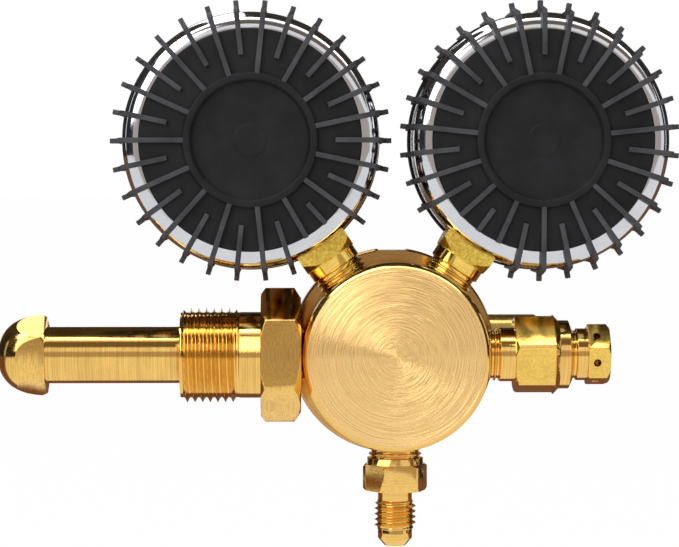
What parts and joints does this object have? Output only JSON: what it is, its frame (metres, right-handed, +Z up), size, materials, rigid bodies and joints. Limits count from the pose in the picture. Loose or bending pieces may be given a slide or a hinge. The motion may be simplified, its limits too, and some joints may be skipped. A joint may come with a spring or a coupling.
{
  "type": "cylinder pressure regulator",
  "caption": "Brass cylinder pressure regulator with twin dial gauges in finned rubber boots, T-handle, relief valve, nipple-and-nut inlet and flare outlet.",
  "frame": {"origin": "centre of the body's flat back face", "axes": "+Y along the adjusting screw towards the handle and the dials, +Z up between the gauges, inlet along -X, outlet along -Z"},
  "size_m": [0.1761, 0.0932, 0.1417],
  "materials": {
    "turned_brass": "face turned on a lathe, with fine concentric tool marks",
    "polished_brass": "bright machined brass",
    "cast_brass": "yellow brass with a fine sandy as-cast skin",
    "movement_brass": "stamped and machined brass",
    "chrome": "bright chrome plate on a pressed case",
    "black_rubber": "satin moulded rubber",
    "seal_rubber": "smooth rubber",
    "dial_white": "matt white dial with black scales",
    "pointer_black": "matt black",
    "lens": "clear lens",
    "spring_steel": "bright spring wire",
    "steel": "zinc plated steel",
    "seat_plastic": "white valve seat plastic",
    "sintered_bronze": "sintered porous bronze"
  },
  "bodies": {
    "regulator": {"regulator_body": "turned_brass", "bonnet": "polished_brass", "nozzle": "polished_brass", "valve_seat": "seat_plastic", "return_spring": "spring_steel", "diaphragm": "seal_rubber", "slip_ring": "steel", "adjusting_spring": "spring_steel", "inlet_nipple": "polished_brass", "inlet_filter": "sintered_bronze", "outlet_fitting": "polished_brass", "relief_body": "polished_brass", "relief_spring": "spring_steel", "relief_cap": "polished_brass", "left_socket": "cast_brass", "left_bourdon_tube": "movement_brass", "left_tube_tip": "movement_brass", "left_movement_frame": "movement_brass", "left_dial": "dial_white", "left_dial_screws": "steel", "left_case": "chrome", "left_bezel": "chrome", "left_gasket": "seal_rubber", "left_lens": "lens", "left_boot": "black_rubber", "right_socket": "cast_brass", "right_bourdon_tube": "movement_brass", "right_tube_tip": "movement_brass", "right_movement_frame": "movement_brass", "right_dial": "dial_white", "right_dial_screws": "steel", "right_case": "chrome", "right_bezel": "chrome", "right_gasket": "seal_rubber", "right_lens": "lens", "right_boot": "black_rubber"},
    "button": {"spring_button": "steel"},
    "handle": {"adjusting_screw": "steel", "t_handle": "cast_brass"},
    "inlet_nut": {"inlet_nut": "polished_brass"},
    "valve": {"diaphragm_plate": "steel", "valve_stem": "steel"},
    "relief_valve": {"relief_seal": "seal_rubber", "relief_poppet": "polished_brass"},
    "left_pointer": {"left_pointer": "pointer_black", "left_pinion": "movement_brass"},
    "left_sector": {"left_sector_gear": "movement_brass"},
    "left_link": {"left_link": "movement_brass"},
    "right_pointer": {"right_pointer": "pointer_black", "right_pinion": "movement_brass"},
    "right_sector": {"right_sector_gear": "movement_brass"},
    "right_link": {"right_link": "movement_brass"}
  },
  "joints": [
    {"name": "button_slide", "type": "slide", "parent": "regulator", "child": "button", "axis": [0, -1, 0], "range_m": [0, 0.00714], "deforming": ["adjusting_spring"]},
    {"name": "handle_turn", "type": "hinge", "parent": "button", "child": "handle", "pos_m": [0, 0.0576, 0], "axis": [0, -1, 0], "range_deg": [0, 1620]},
    {"name": "nut_slide", "type": "slide", "parent": "regulator", "child": "inlet_nut", "axis": [-1, 0, 0], "range_m": [0, 0.0342]},
    {"name": "valve_lift", "type": "slide", "parent": "regulator", "child": "valve", "axis": [0, -1, 0], "range_m": [0, 0.0008], "stiffness_N_per_m": 2000, "springref_m": -0.001, "deforming": ["diaphragm", "return_spring"]},
    {"name": "relief_lift", "type": "slide", "parent": "regulator", "child": "relief_valve", "axis": [1, 0, 0], "range_m": [0, 0.001], "stiffness_N_per_m": 2000, "springref_m": -0.001, "deforming": ["relief_spring"]},
    {"name": "left_pointer_turn", "type": "hinge", "parent": "regulator", "child": "left_pointer", "pos_m": [-0.03747, 0.023, 0.05555], "axis": [0, -1, 0], "range_deg": [0, 270], "stiffness_Nm_per_rad": 0.001},
    {"name": "left_sector_turn", "type": "hinge", "parent": "regulator", "child": "left_sector", "pos_m": [-0.03118, 0.0153, 0.04622], "axis": [0, -1, 0], "range_deg": [-33.75, 0], "deforming": ["left_bourdon_tube", "left_tube_tip"]},
    {"name": "left_link_turn", "type": "hinge", "parent": "left_sector", "child": "left_link", "pos_m": [-0.03191, 0.0139, 0.03926], "axis": [0, -1, 0], "range_deg": [0, 33.75]},
    {"name": "right_pointer_turn", "type": "hinge", "parent": "regulator", "child": "right_pointer", "pos_m": [0.03747, 0.023, 0.05555], "axis": [0, -1, 0], "range_deg": [0, 270], "stiffness_Nm_per_rad": 0.001},
    {"name": "right_sector_turn", "type": "hinge", "parent": "regulator", "child": "right_sector", "pos_m": [0.03118, 0.0153, 0.04622], "axis": [0, -1, 0], "range_deg": [-33.75, 0], "deforming": ["right_bourdon_tube", "right_tube_tip"]},
    {"name": "right_link_turn", "type": "hinge", "parent": "right_sector", "child": "right_link", "pos_m": [0.02445, 0.0139, 0.04429], "axis": [0, -1, 0], "range_deg": [0, 33.75]}
  ],
  "couplings": [
    {"joint": "button_slide", "follows": "handle_turn", "m_per_rad": 0.00025266},
    {"joint": "left_sector_turn", "follows": "left_pointer_turn", "ratio": -0.125},
    {"joint": "left_link_turn", "follows": "left_pointer_turn", "ratio": 0.125},
    {"joint": "right_sector_turn", "follows": "right_pointer_turn", "ratio": -0.125},
    {"joint": "right_link_turn", "follows": "right_pointer_turn", "ratio": 0.125}
  ]
}
